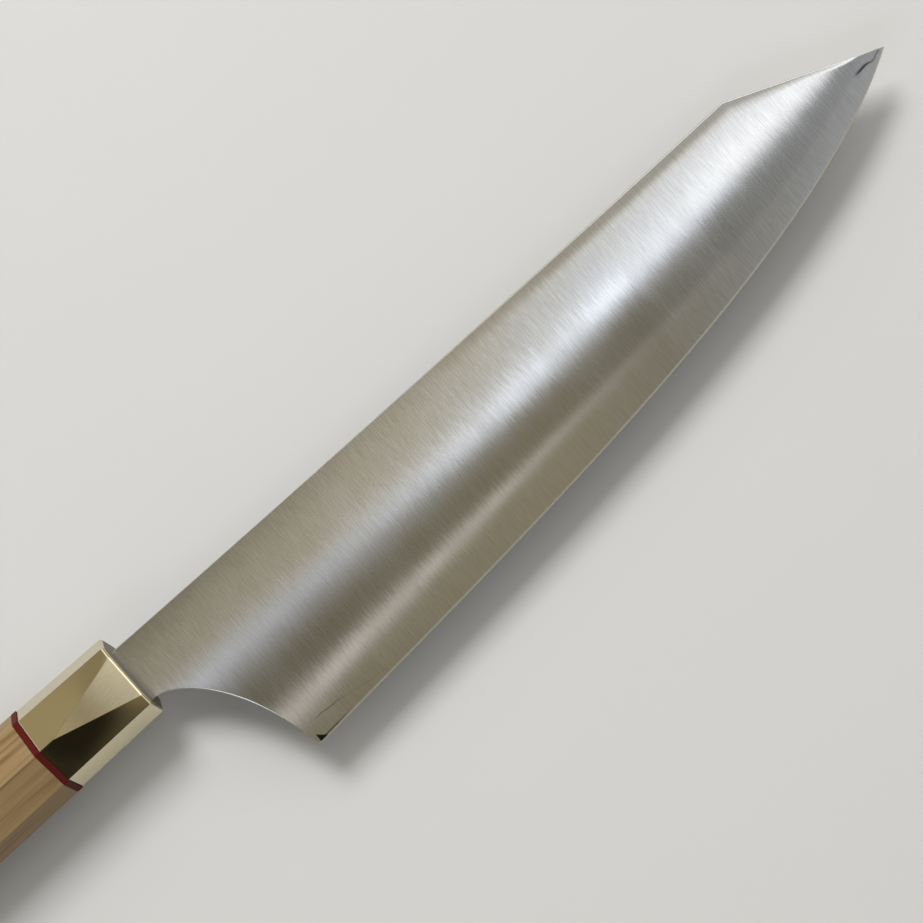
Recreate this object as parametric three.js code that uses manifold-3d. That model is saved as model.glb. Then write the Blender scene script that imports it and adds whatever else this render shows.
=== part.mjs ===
// A gyuto, a Japanese kitchen knife, whose straight spine breaks down to an angled point.
// It is a hidden-tang knife: a three-layer blade, an octagonal bolster with a long triangular flat on
// each side, a thin spacer and an octagonal wooden handle. A drilled dowel lines them up on one axis,
// and a cast of epoxy in the dowel holds the tang.
// Millimetres. The knife lies on its side: +X runs to the tip, the spine faces +Y, the edge faces -Y and
// the right face of the blade looks up, +Z. Sizes are taken from the handle's axis and the bolster's front.

import * as THREE from "three";
import { mergeVertices } from "three/addons/utils/BufferGeometryUtils.js";
import Module from "manifold-3d";

// Blade outline
const EDGE_LENGTH = 210; // heel to tip, along the knife
const NECK_LENGTH = 22.2; // bolster to heel, along the knife
const HEEL_DEPTH = 49.2; // spine down to the heel
const TIP_DROP = 16; // spine down to the tip
const POINT_LENGTH = 37.5; // the angled end of the spine, along the knife
const SPINE_DIP = 0.6; // sag of the spine below a straight line
const EDGE_RISE_AT_HEEL = 3.3; // degrees
const EDGE_RISE_AT_TIP = 30.8; // degrees
const HEEL_REACH = 85.5; // how far the edge holds its direction from the heel
const TIP_REACH = 46; // how far it holds its direction back from the tip
const CHOIL_FALL_AT_HEEL = 81.5; // degrees
const CHOIL_NECK_REACH = 8.1; // how far the choil runs level from the bolster
const CHOIL_HEEL_REACH = 20; // how far it holds its direction above the heel
const SPINE_BELOW_BOLSTER_TOP = 4.25;
const NECK_ABOVE_BOLSTER_BOTTOM = 3.55;

// Blade section
const SPINE_THICKNESS = 2.2; // at the bolster
const POINT_THICKNESS = 1.2; // what the spine would thin to above the tip
const CORE_THICKNESS = 0.7;
const EDGE_THICKNESS = 0.24; // at the top of the sharpened bevel
const BEVEL_HEIGHT = 0.45;
const CORE_SHOWN_AT_HEEL = 6.4; // bare core above the edge
const CORE_SHOWN_AT_TIP = 2.2;
const SPINE_EASE = 0.25; // broken corner along the spine

// Tang
const NECK_IN_BOLSTER = 4;
const SHOULDER_RADIUS = 3;
const TANG_LENGTH = 80; // from the bolster's front
const TANG_HEIGHT = 9; // behind the shoulders
const TANG_END_HEIGHT = 5;

// Octagon of bolster, spacer and handle, by the circle through its arrises
const TOP_FACET_ANGLE = 40; // degrees round the axis, the side facets take the rest of the quarter
const BOLSTER_FRONT_RADIUS = 11.35;
const BOLSTER_BACK_RADIUS = 11.85;
const HANDLE_FRONT_RADIUS = 12.15;
const HANDLE_BUTT_RADIUS = 13.2;

// Bolster, spacer and handle
const BOLSTER_LENGTH = 26.5;
const BOLSTER_WALL_PAST_SHOULDER = 1; // front wall left behind the tang's shoulders
const FLAT_WIDTH = 12; // triangular side flat, at the bolster's front
const FLAT_STOP = 4.1; // from the flat's apex to the bolster's back
const FRONT_CHAMFER = 0.45;
const BACK_CHAMFER = 0.25;
const SPACER_THICKNESS = 1.5;
const HANDLE_LENGTH = 106;
const BUTT_CHAMFER = 1.2;

// Dowel and epoxy
const EPOXY_WALL = 0.5; // epoxy over the tang's narrow sides
const DOWEL_WALL = 1.6;
const DOWEL_PAST_TANG = 9;
const DOWEL_CHAMFER = 0.8;
const DRILL_POINT_ANGLE = 118; // degrees, the drill's cone at the end of the handle's bore
const FIT_GAP = 0.3; // all round, between pieces that fit in one another

// Fineness of the curves
const CHOIL_STEPS = 14;
const EDGE_STEPS = 36;
const SHOULDER_STEPS = 5;
const CORE_ROWS = 4;
const CLADDING_ROWS = 8;
const ROUND_SIDES = 32;
const CUT_PAST = 1; // how far a cutting tool runs past the face it enters

const wasm = await Module();
wasm.setup();

const { clamp, lerp, degToRad } = THREE.MathUtils;

// Closed geometry from a list of points and triangles. Points that coincide become one, and triangles
// that have shrunk to a line, as at a sharp edge or a tip, are left out.
function closedGeometry(points, triangles) {
  const loose = new THREE.BufferGeometry().setFromPoints(points);
  loose.setIndex(triangles.flat());
  const welded = mergeVertices(loose, 1e-4);
  const corners = welded.index.array;
  const kept = [];
  for (let i = 0; i < corners.length; i += 3) {
    const [a, b, c] = corners.slice(i, i + 3);
    if (a !== b && b !== c && c !== a) kept.push(a, b, c);
  }
  welded.setIndex(kept);
  return welded;
}

// Boolean solids: three.js geometry in, three.js geometry out.
function solid(geometry) {
  const bare = geometry.clone();
  bare.deleteAttribute("normal");
  bare.deleteAttribute("uv");
  const merged = mergeVertices(bare, 1e-4);
  return new wasm.Manifold(
    new wasm.Mesh({
      numProp: 3,
      vertProperties: new Float32Array(merged.attributes.position.array),
      triVerts: new Uint32Array(merged.index.array),
    }),
  );
}

function cut(geometry, ...tools) {
  const left = tools.reduce((body, tool) => body.subtract(solid(tool)), solid(geometry));
  const mesh = left.getMesh();
  const result = new THREE.BufferGeometry();
  result.setAttribute("position", new THREE.BufferAttribute(mesh.vertProperties, 3));
  result.setIndex(new THREE.BufferAttribute(mesh.triVerts, 1));
  return result;
}

// Where, between low and high, a steadily rising or falling value passes zero.
function crossing(value, low, high) {
  const rising = value(high) > value(low);
  for (let i = 0; i < 50; i += 1) {
    const middle = (low + high) / 2;
    if (value(middle) < 0 === rising) low = middle;
    else high = middle;
  }
  return (low + high) / 2;
}

function direction(degrees, length) {
  return new THREE.Vector2(length, 0).rotateAround(new THREE.Vector2(), degToRad(degrees));
}

// Blade outline: the spine with its angled end, the edge and the choil, and behind the bolster's front
// the neck, its filleted shoulders and the tapering tang.
const spineY = BOLSTER_FRONT_RADIUS - SPINE_BELOW_BOLSTER_TOP;
const neckY = NECK_ABOVE_BOLSTER_BOTTOM - BOLSTER_FRONT_RADIUS;
const heel = new THREE.Vector2(NECK_LENGTH, spineY - HEEL_DEPTH);
const tip = new THREE.Vector2(NECK_LENGTH + EDGE_LENGTH, spineY - TIP_DROP);
const cornerX = tip.x - POINT_LENGTH;
const shoulderX = -(NECK_IN_BOLSTER + SHOULDER_RADIUS);

const edgeCurve = new THREE.CubicBezierCurve(
  heel,
  heel.clone().add(direction(EDGE_RISE_AT_HEEL, HEEL_REACH)),
  tip.clone().sub(direction(EDGE_RISE_AT_TIP, TIP_REACH)),
  tip,
);
const choilCurve = new THREE.CubicBezierCurve(
  new THREE.Vector2(0, neckY),
  new THREE.Vector2(CHOIL_NECK_REACH, neckY),
  heel.clone().sub(direction(-CHOIL_FALL_AT_HEEL, CHOIL_HEEL_REACH)),
  heel,
);

function heightOn(curve, x) {
  const t = crossing((share) => curve.getPoint(share).x - x, 0, 1);
  return curve.getPoint(t).y;
}

function tangSide(x, neckSideY, side) {
  if (x >= -NECK_IN_BOLSTER) return neckSideY;
  const taper = clamp((shoulderX - x) / (TANG_LENGTH + shoulderX), 0, 1);
  const tangY = (side * lerp(TANG_HEIGHT, TANG_END_HEIGHT, taper)) / 2;
  const up = clamp((x - shoulderX) / SHOULDER_RADIUS, 0, 1);
  return lerp(neckSideY, tangY, Math.sqrt(1 - up * up));
}

function spineLine(x) {
  const share = clamp(x / cornerX, 0, 1);
  return spineY - SPINE_DIP * 4 * share * (1 - share);
}

function topY(x) {
  if (x < 0) return tangSide(x, spineY, 1);
  if (x > cornerX) return lerp(spineY, tip.y, (x - cornerX) / POINT_LENGTH);
  return spineLine(x);
}

// The edge, carried on straight behind the heel so that the grind is known over the neck too.
function edgeLine(x) {
  if (x >= tip.x) return tip.y;
  if (x > heel.x) return heightOn(edgeCurve, x);
  return heel.y - (heel.x - x) * Math.tan(degToRad(EDGE_RISE_AT_HEEL));
}

function bottomY(x) {
  if (x < 0) return tangSide(x, neckY, -1);
  if (x < heel.x) return heightOn(choilCurve, x);
  return edgeLine(x);
}

// Grind: from the bevel's top the blade swells in one convex curve to the spine, which thins from the
// bolster to the tip. The curve is as full as it has to be for the core to come out of the cladding at
// the height where it shows.
const coreHalf = CORE_THICKNESS / 2;
const bevelHalf = EDGE_THICKNESS / 2;

function coreShown(x) {
  const share = clamp((x - heel.x) / EDGE_LENGTH, 0, 1);
  return lerp(CORE_SHOWN_AT_HEEL, CORE_SHOWN_AT_TIP, share);
}

function halfThickness(x, y) {
  const station = clamp(x, 0, tip.x);
  const lift = y - edgeLine(station);
  if (lift <= BEVEL_HEIGHT) return (bevelHalf * Math.max(lift, 0)) / BEVEL_HEIGHT;
  const spineHalf = lerp(SPINE_THICKNESS, POINT_THICKNESS, station / tip.x) / 2;
  const swell = spineHalf - bevelHalf;
  const height = spineLine(station) - edgeLine(station) - BEVEL_HEIGHT;
  const coreShare = (coreShown(station) - BEVEL_HEIGHT) / height;
  const fullness = Math.log(1 - (coreHalf - bevelHalf) / swell) / Math.log(1 - coreShare);
  const share = clamp((lift - BEVEL_HEIGHT) / height, 0, 1);
  return bevelHalf + swell * (1 - (1 - share) ** fullness);
}

// Stations along the blade, from the tang's end to the tip. Two of them are where the line between core
// and cladding meets the choil and the angled point.
const coreAtChoilX = crossing((x) => bottomY(x) - edgeLine(x) - coreShown(x), 0, heel.x);
const coreAtPointX = crossing((x) => topY(x) - edgeLine(x) - coreShown(x), cornerX, tip.x);
const stations = [-TANG_LENGTH, 0, coreAtChoilX, cornerX, coreAtPointX];
for (let i = 0; i <= SHOULDER_STEPS; i += 1) {
  const quarter = ((Math.PI / 2) * i) / SHOULDER_STEPS;
  stations.push(shoulderX + SHOULDER_RADIUS * Math.sin(quarter));
}
for (const point of choilCurve.getPoints(CHOIL_STEPS).slice(1)) stations.push(point.x);
for (const point of edgeCurve.getPoints(EDGE_STEPS).slice(1)) stations.push(point.x);
stations.sort((a, b) => a - b);

// A layer of the blade: rows(x) gives, from the spine down, the height, upper and lower face of each row.
function bladeLayer(layerStations, rows) {
  const sections = layerStations.map((x) => rows(x).map((row) => ({ x, ...row })));
  const perRow = 2;
  const rowCount = sections[0].length;
  const points = [];
  for (const section of sections) {
    for (const { x, y, upper, lower } of section) {
      points.push(new THREE.Vector3(x, y, upper), new THREE.Vector3(x, y, lower));
    }
  }
  const upperAt = (i, k) => perRow * (i * rowCount + k);
  const lowerAt = (i, k) => upperAt(i, k) + 1;
  const triangles = [];
  const face = (a, b, c, d) => triangles.push([a, b, c], [a, c, d]);
  const last = sections.length - 1;
  const bottom = rowCount - 1;
  for (let i = 0; i < last; i += 1) {
    for (let k = 0; k < bottom; k += 1) {
      face(upperAt(i, k), upperAt(i, k + 1), upperAt(i + 1, k + 1), upperAt(i + 1, k));
      face(lowerAt(i, k), lowerAt(i + 1, k), lowerAt(i + 1, k + 1), lowerAt(i, k + 1));
    }
    face(upperAt(i, 0), upperAt(i + 1, 0), lowerAt(i + 1, 0), lowerAt(i, 0));
    face(upperAt(i, bottom), lowerAt(i, bottom), lowerAt(i + 1, bottom), upperAt(i + 1, bottom));
  }
  for (let k = 0; k < bottom; k += 1) {
    face(upperAt(0, k), lowerAt(0, k), lowerAt(0, k + 1), upperAt(0, k + 1));
    face(upperAt(last, k), upperAt(last, k + 1), lowerAt(last, k + 1), lowerAt(last, k));
  }
  return closedGeometry(points, triangles);
}

function coreRows(x) {
  const edge = edgeLine(x);
  const heights = [topY(x)];
  for (let k = 0; k <= CORE_ROWS; k += 1) {
    heights.push(edge + lerp(coreShown(x), BEVEL_HEIGHT, k / CORE_ROWS));
  }
  heights.push(edge);
  return heights.map((height) => {
    const y = clamp(height, bottomY(x), topY(x));
    const half = Math.min(coreHalf, halfThickness(x, y));
    return { y, upper: half, lower: -half };
  });
}

function claddingRows(x) {
  const top = topY(x);
  const end = clamp(edgeLine(x) + coreShown(x), bottomY(x), top);
  const eased = Math.max(top - SPINE_EASE, end);
  const rows = [{ y: top, upper: Math.max(coreHalf, halfThickness(x, top) - SPINE_EASE), lower: coreHalf }];
  for (let k = 0; k <= CLADDING_ROWS; k += 1) {
    const y = lerp(eased, end, k / CLADDING_ROWS);
    rows.push({ y, upper: Math.max(coreHalf, halfThickness(x, y)), lower: coreHalf });
  }
  return rows;
}

function mirroredRows(x) {
  return claddingRows(x).map(({ y, upper, lower }) => ({ y, upper: -lower, lower: -upper }));
}

// Octagonal pieces: rings of arrises round the knife's axis, lofted from front to back. The side arris
// is a pair of points, which lie apart where the side flat cuts it.
const sideFacetSlope = (1 - Math.sin(degToRad(TOP_FACET_ANGLE))) / Math.cos(degToRad(TOP_FACET_ANGLE));

function octagonRing(x, radius, flatHalfWidth = 0, inset = 0) {
  const scale = 1 - inset / radius;
  const y = radius * Math.cos(degToRad(TOP_FACET_ANGLE));
  const z = radius * Math.sin(degToRad(TOP_FACET_ANGLE));
  const flatZ = radius - sideFacetSlope * flatHalfWidth;
  const right = [
    [radius, 0],
    [y, z],
    [flatHalfWidth, flatZ],
    [-flatHalfWidth, flatZ],
    [-y, z],
  ];
  const left = right.map(([a, b]) => [-a, -b]);
  return [...right, ...left].map(([a, b]) => new THREE.Vector3(x, a * scale, b * scale));
}

function loftRings(rings) {
  const count = rings[0].length;
  const triangles = [];
  for (let i = 0; i + 1 < rings.length; i += 1) {
    for (let j = 0; j < count; j += 1) {
      const next = (j + 1) % count;
      const here = i * count;
      const behind = here + count;
      triangles.push([here + j, behind + j, behind + next], [here + j, behind + next, here + next]);
    }
  }
  const back = (rings.length - 1) * count;
  for (let j = 1; j + 1 < count; j += 1) {
    triangles.push([0, j, j + 1], [back, back + j + 1, back + j]);
  }
  return closedGeometry(rings.flat(), triangles);
}

// Round tools and pieces lie along the knife's axis, from frontX back to backX.
function roundBar(frontX, backX, radius) {
  const bar = new THREE.CylinderGeometry(radius, radius, frontX - backX, ROUND_SIDES);
  bar.rotateZ(Math.PI / 2);
  bar.translate((frontX + backX) / 2, 0, 0);
  return bar;
}

function turned(profile, frontX) {
  const piece = new THREE.LatheGeometry(
    profile.map(([radius, distance]) => new THREE.Vector2(radius, distance)),
    ROUND_SIDES,
  );
  piece.rotateZ(Math.PI / 2);
  piece.translate(frontX, 0, 0);
  return piece;
}

// Where the pieces lie along the axis, and the bores that fit in one another.
const bolsterBackX = -BOLSTER_LENGTH;
const handleFrontX = bolsterBackX - SPACER_THICKNESS;
const buttX = handleFrontX - HANDLE_LENGTH;
const boreFloorX = shoulderX - BOLSTER_WALL_PAST_SHOULDER;
const dowelFrontX = boreFloorX - FIT_GAP;
const dowelBackX = -(TANG_LENGTH + DOWEL_PAST_TANG);
const epoxyRadius = TANG_HEIGHT / 2 + FIT_GAP + EPOXY_WALL;
const dowelBoreRadius = epoxyRadius + FIT_GAP;
const dowelRadius = dowelBoreRadius + DOWEL_WALL;
const boreRadius = dowelRadius + FIT_GAP;

function bolsterGeometry() {
  const flatLength = BOLSTER_LENGTH - FLAT_STOP;
  const ring = (x, inset) => {
    const radius = lerp(BOLSTER_FRONT_RADIUS, BOLSTER_BACK_RADIUS, -x / BOLSTER_LENGTH);
    const flatHalfWidth = (FLAT_WIDTH / 2) * Math.max(1 + x / flatLength, 0);
    return octagonRing(x, radius, flatHalfWidth, inset);
  };
  const body = loftRings([
    ring(0, FRONT_CHAMFER),
    ring(-FRONT_CHAMFER, 0),
    ring(-flatLength, 0),
    ring(bolsterBackX + BACK_CHAMFER, 0),
    ring(bolsterBackX, BACK_CHAMFER),
  ]);
  const slotLength = CUT_PAST - boreFloorX + CUT_PAST;
  const slotHeight = spineY - neckY + 2 * FIT_GAP;
  const slot = new THREE.BoxGeometry(slotLength, slotHeight, SPINE_THICKNESS + 2 * FIT_GAP);
  slot.translate(CUT_PAST - slotLength / 2, (spineY + neckY) / 2, 0);
  return cut(body, slot, roundBar(boreFloorX, bolsterBackX - CUT_PAST, boreRadius));
}

function spacerGeometry() {
  const body = loftRings([
    octagonRing(bolsterBackX, HANDLE_FRONT_RADIUS),
    octagonRing(handleFrontX, HANDLE_FRONT_RADIUS),
  ]);
  return cut(body, roundBar(bolsterBackX + CUT_PAST, handleFrontX - CUT_PAST, boreRadius));
}

function handleGeometry() {
  const body = loftRings([
    octagonRing(handleFrontX, HANDLE_FRONT_RADIUS),
    octagonRing(buttX + BUTT_CHAMFER, HANDLE_BUTT_RADIUS),
    octagonRing(buttX, HANDLE_BUTT_RADIUS, 0, BUTT_CHAMFER),
  ]);
  const boreStart = handleFrontX + CUT_PAST;
  const boreDepth = boreStart - (dowelBackX - FIT_GAP);
  const coneDepth = boreRadius / Math.tan(degToRad(DRILL_POINT_ANGLE / 2));
  const drill = turned(
    [
      [0, 0],
      [boreRadius, 0],
      [boreRadius, boreDepth],
      [0, boreDepth + coneDepth],
    ],
    boreStart,
  );
  return cut(body, drill);
}

function dowelGeometry() {
  const length = dowelFrontX - dowelBackX;
  const shaved = dowelRadius - DOWEL_CHAMFER;
  return turned(
    [
      [dowelBoreRadius, 0],
      [shaved, 0],
      [dowelRadius, DOWEL_CHAMFER],
      [dowelRadius, length - DOWEL_CHAMFER],
      [shaved, length],
      [dowelBoreRadius, length],
      [dowelBoreRadius, 0],
    ],
    dowelFrontX,
  );
}

// The cast fills the dowel from end to end and has the tang's own shape as its mould.
function epoxyGeometry() {
  const cast = roundBar(dowelFrontX, dowelBackX, epoxyRadius);
  const wide = TANG_HEIGHT / 2 + FIT_GAP;
  const narrow = TANG_END_HEIGHT / 2 + FIT_GAP;
  const outline = new THREE.Shape([
    new THREE.Vector2(shoulderX, wide),
    new THREE.Vector2(-TANG_LENGTH - FIT_GAP, narrow),
    new THREE.Vector2(-TANG_LENGTH - FIT_GAP, -narrow),
    new THREE.Vector2(shoulderX, -wide),
  ]);
  const depth = SPINE_THICKNESS + 2 * FIT_GAP;
  const mould = new THREE.ExtrudeGeometry(outline, { depth, bevelEnabled: false });
  mould.translate(0, 0, -depth / 2);
  return cut(cast, mould);
}

// Finishes
const coreSteel = new THREE.MeshStandardMaterial({ color: 0xb9b9b6, metalness: 1, roughness: 0.25 });
const satinSteel = new THREE.MeshStandardMaterial({ color: 0xc4c2bc, metalness: 1, roughness: 0.35 });
const nickelSilver = new THREE.MeshStandardMaterial({ color: 0xc9c0a2, metalness: 1, roughness: 0.25 });
const redFibre = new THREE.MeshStandardMaterial({ color: 0x7a1a14, metalness: 0, roughness: 0.6 });
const handleWood = new THREE.MeshStandardMaterial({ color: 0xb48a5a, metalness: 0, roughness: 0.6 });
const dowelWood = new THREE.MeshStandardMaterial({ color: 0xd8c29a, metalness: 0, roughness: 0.7 });
const epoxy = new THREE.MeshStandardMaterial({ color: 0xcfc4a4, metalness: 0, roughness: 0.4 });

function piece(name, geometry, material) {
  const flatShaded = geometry.index ? geometry.toNonIndexed() : geometry;
  flatShaded.computeVertexNormals();
  const mesh = new THREE.Mesh(flatShaded, material);
  mesh.name = name;
  return mesh;
}

const cladStations = stations.filter((x) => x <= coreAtPointX);
const knife = new THREE.Group();
knife.add(
  piece("core_steel", bladeLayer(stations, coreRows), coreSteel),
  piece("cladding_right", bladeLayer(cladStations, claddingRows), satinSteel),
  piece("cladding_left", bladeLayer(cladStations, mirroredRows), satinSteel),
  piece("bolster", bolsterGeometry(), nickelSilver),
  piece("spacer", spacerGeometry(), redFibre),
  piece("handle", handleGeometry(), handleWood),
  piece("dowel", dowelGeometry(), dowelWood),
  piece("tang_epoxy", epoxyGeometry(), epoxy),
);

// The part's origin is under the middle of the knife as it lies.
const box = new THREE.Box3().setFromObject(knife);
const middle = box.getCenter(new THREE.Vector3());
knife.position.set(-middle.x, -middle.y, -box.min.z);
const part = new THREE.Group();
part.add(knife);

export default part;
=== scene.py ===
import bmesh
import bpy
import numpy as np
from mathutils import Matrix, Vector


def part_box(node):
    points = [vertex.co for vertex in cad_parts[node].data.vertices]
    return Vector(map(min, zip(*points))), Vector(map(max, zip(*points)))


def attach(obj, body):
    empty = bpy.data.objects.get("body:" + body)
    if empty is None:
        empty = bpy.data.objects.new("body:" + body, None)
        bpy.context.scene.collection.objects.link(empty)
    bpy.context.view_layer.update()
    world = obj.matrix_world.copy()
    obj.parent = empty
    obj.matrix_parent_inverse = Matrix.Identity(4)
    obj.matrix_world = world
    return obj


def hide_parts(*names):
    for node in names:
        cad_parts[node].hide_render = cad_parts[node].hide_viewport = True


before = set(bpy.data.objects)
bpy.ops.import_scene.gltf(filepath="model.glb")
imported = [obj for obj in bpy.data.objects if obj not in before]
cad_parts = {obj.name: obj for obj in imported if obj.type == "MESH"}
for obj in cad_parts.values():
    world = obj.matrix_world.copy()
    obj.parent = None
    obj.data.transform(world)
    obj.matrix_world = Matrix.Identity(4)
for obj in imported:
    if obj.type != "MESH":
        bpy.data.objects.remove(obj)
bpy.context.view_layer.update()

# Core steel
# The hard middle layer of the blade. It is forged between two softer plates and shows as the cutting edge,
# a bare band above it and a thin line along the spine, and it runs on as the middle of the hidden tang.
MM = 0.001
EDGE_LENGTH = 210.0
NECK_LENGTH = 22.2
HEEL_DEPTH = 49.2
TIP_DROP = 16.0
POINT_LENGTH = 37.5
SPINE_DIP = 0.6
SPINE_HEIGHT = 7.1
NECK_HEIGHT = -7.8
EDGE_RISE_AT_HEEL = 3.3
EDGE_RISE_AT_TIP = 30.8
EDGE_HOLD_AT_HEEL = 85.5
EDGE_HOLD_AT_TIP = 46.0
CHOIL_FALL = 81.5
CHOIL_HOLD_AT_NECK = 8.1
CHOIL_HOLD_AT_HEEL = 20.0
SPINE_THICKNESS = 2.2
POINT_THICKNESS = 1.2
CORE_HALF = 0.35
BEVEL_HALF = 0.12
BEVEL_HEIGHT = 0.45
BARE_CORE_AT_HEEL = 6.4
BARE_CORE_AT_TIP = 2.2
NECK_IN_BOLSTER = 4.0
SHOULDER_RADIUS = 3.0
TANG_LENGTH = 80.0
TANG_HEIGHT = 9.0
TANG_END_HEIGHT = 5.0
SEAM_LOW = 1.0
SEAM_RISE = 4.3
SEAM_RUN = 17.5
SEAM_WIDTH = 0.2
SEAM_WAVER = 1.2
SEAM_WAVER_SIZES = [4.0, 4.0, 4.0]
# Painted dark reflection along the bevel by the heel: its lift above the edge and its width
DARK_REFLECTION_LIFT = 0.6
DARK_REFLECTION_WIDTH = 0.2
POINT_SEAM_ALONG = 201.45
POINT_SEAM_HEIGHT = -9.5
POINT_SEAM_SLOPE = 0.11
POINT_SEAM_DIP = 0.62
POINT_SEAM_DIP_PAST = 4.3
POINT_SEAM_DIP_RUN = 1.2
POINT_SEAM_WIDTH = 0.26
POINT_SEAM_WAVER = 0.15
SIDE_LINE_DROP = 0.6
SIDE_LINE_WIDTH = 0.14
SEAM_AND_REFLECTION_TONE = 0.04
STEEL_COLOUR = (0.70, 0.695, 0.68)
SCRATCH_SIZES = [0.25, 5.0, 5.0]
SCRATCH_DARK = 0.94
SCRATCH_LIGHT = 1.06
STREAK_SIZES = [9.0, 60.0, 60.0]
EDGE_POINTS = 301
CHOIL_POINTS = 61
SHOULDER_POINTS = 9
BAND_ROWS = 16
ROW_MARGIN = 0.02
CLOSE_ROW = 0.001
WELD_REACH = 1e-4
SHARP_ANGLE = np.radians(25)

handle_low, handle_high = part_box("handle")
handle_axis = (handle_low + handle_high) / 2
bolster_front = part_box("bolster")[1].x
knife_origin = np.array([bolster_front, handle_axis.y, handle_axis.z])


def in_row_frame(x, y, z):
    """Knife millimetres, from the bolster's front on the handle's axis, as metres in the row frame."""
    return np.stack(np.broadcast_arrays(x, y, z), axis=-1) * MM + knife_origin


def heading(degrees, length):
    """A step of that length in the blade's plane, turned up from the knife's axis."""
    angle = np.radians(degrees)
    return length * np.array([np.cos(angle), np.sin(angle)])


def bezier(start, leave, arrive, end, share):
    """Cubic Bezier curve: the four points weighted by the cubic Bernstein terms of the share along it."""
    t = np.asarray(share)[:, None]
    return (1 - t) ** 3 * start + 3 * (1 - t) ** 2 * t * leave + 3 * (1 - t) * t**2 * arrive + t**3 * end


heel = np.array([NECK_LENGTH, SPINE_HEIGHT - HEEL_DEPTH])
tip = np.array([NECK_LENGTH + EDGE_LENGTH, SPINE_HEIGHT - TIP_DROP])
point_start = tip[0] - POINT_LENGTH
shoulder = -(NECK_IN_BOLSTER + SHOULDER_RADIUS)
edge_curve = bezier(
    heel,
    heel + heading(EDGE_RISE_AT_HEEL, EDGE_HOLD_AT_HEEL),
    tip - heading(EDGE_RISE_AT_TIP, EDGE_HOLD_AT_TIP),
    tip,
    np.linspace(0, 1, EDGE_POINTS),
)
choil_curve = bezier(
    np.array([0.0, NECK_HEIGHT]),
    np.array([CHOIL_HOLD_AT_NECK, NECK_HEIGHT]),
    heel - heading(-CHOIL_FALL, CHOIL_HOLD_AT_HEEL),
    heel,
    np.linspace(0, 1, CHOIL_POINTS),
)


def tang_side(x, neck_side, side):
    """Straight neck, then a quarter round down to the tang, which tapers straight to its end."""
    taper = np.clip((shoulder - x) / (TANG_LENGTH + shoulder), 0, 1)
    tang = side * (TANG_HEIGHT + (TANG_END_HEIGHT - TANG_HEIGHT) * taper) / 2
    up = np.clip((x - shoulder) / SHOULDER_RADIUS, 0, 1)
    return neck_side + (tang - neck_side) * np.sqrt(1 - up**2)


def spine_line(x):
    """The spine with a slight sag: a parabola, zero at the bolster and at the start of the point."""
    share = np.clip(x / point_start, 0, 1)
    return SPINE_HEIGHT - SPINE_DIP * 4 * share * (1 - share)


def blade_top(x):
    """Tang, then the spine, then one straight slope from the start of the point to the tip."""
    slope = SPINE_HEIGHT - TIP_DROP * np.clip((x - point_start) / POINT_LENGTH, 0, 1)
    return np.where(x < 0, tang_side(x, SPINE_HEIGHT, 1), np.where(x > point_start, slope, spine_line(x)))


def edge_line(x):
    """Height of the cutting edge, carried on straight behind the heel."""
    behind = heel[1] - (heel[0] - x) * np.tan(np.radians(EDGE_RISE_AT_HEEL))
    return np.where(x < heel[0], behind, np.interp(x, edge_curve[:, 0], edge_curve[:, 1]))


def blade_bottom(x):
    """Tang, then the round of the choil down to the heel, then the edge."""
    choil = np.interp(x, choil_curve[:, 0], choil_curve[:, 1])
    return np.where(x < 0, tang_side(x, NECK_HEIGHT, -1), np.where(x < heel[0], choil, edge_line(x)))


def bare_core(x):
    """Height of the bare band above the edge, shrinking evenly from heel to tip."""
    share = np.clip((x - heel[0]) / EDGE_LENGTH, 0, 1)
    return BARE_CORE_AT_HEEL + (BARE_CORE_AT_TIP - BARE_CORE_AT_HEEL) * share


def half_thickness(x, y):
    """A straight bevel, and above it one convex swell to the spine: bevel half plus swell times one minus
    the unclimbed share to a power, chosen so that the face passes the core's own half at the bare band's
    top."""
    station = np.clip(x, 0, tip[0])
    edge = edge_line(station)
    lift = y - edge
    spine_half = (SPINE_THICKNESS + (POINT_THICKNESS - SPINE_THICKNESS) * station / tip[0]) / 2
    swell = spine_half - BEVEL_HALF
    height = spine_line(station) - edge - BEVEL_HEIGHT
    core_share = (bare_core(station) - BEVEL_HEIGHT) / height
    fullness = np.log(1 - (CORE_HALF - BEVEL_HALF) / swell) / np.log(1 - core_share)
    climbed = np.clip((lift - BEVEL_HEIGHT) / height, 0, 1)
    bevel = BEVEL_HALF * np.clip(lift / BEVEL_HEIGHT, 0, 1)
    return np.where(lift <= BEVEL_HEIGHT, bevel, BEVEL_HALF + swell * (1 - (1 - climbed) ** fullness))


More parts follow.
